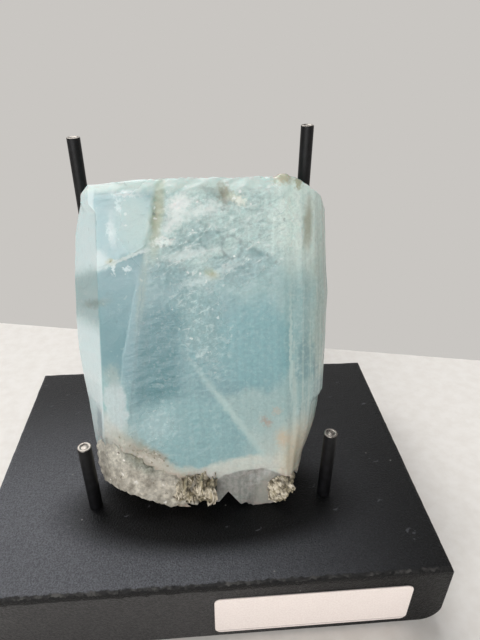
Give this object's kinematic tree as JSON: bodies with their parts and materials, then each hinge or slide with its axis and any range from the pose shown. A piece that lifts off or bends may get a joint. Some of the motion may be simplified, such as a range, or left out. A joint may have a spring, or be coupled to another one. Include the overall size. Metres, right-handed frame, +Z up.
{
  "type": "aquamarine crystal on display stand",
  "caption": "Stout, cloudy blue-green crystal with a broken base, crust and mica, leaning back on a black block with upright steel pegs.",
  "frame": {"origin": "centre of the display block's underside", "axes": "+Z up from the surface that the block stands on, -Y out of the labelled front, +X to the right seen from the front"},
  "size_m": [0.1064, 0.078, 0.0997],
  "materials": {
    "aquamarine": "cloudy, glassy on clean faces and frosted where etched",
    "feldspar": "sugary, matt with small glints",
    "mica": "pearly plates with bright edges",
    "painted_wood": "black satin paint over wood, worn on the top edges",
    "black_steel": "glossy black, bare at the tips",
    "label_paper": "coated paper, blank"
  },
  "bodies": {
    "root": {"aquamarine_crystal": "aquamarine", "matrix_crust": "feldspar", "mica_cluster_left": "mica", "mica_cluster_right": "mica", "display_base": "painted_wood", "peg_front_left": "black_steel", "peg_front_right": "black_steel", "peg_back_left": "black_steel", "peg_back_right": "black_steel", "front_label": "label_paper"}
  },
  "joints": []
}
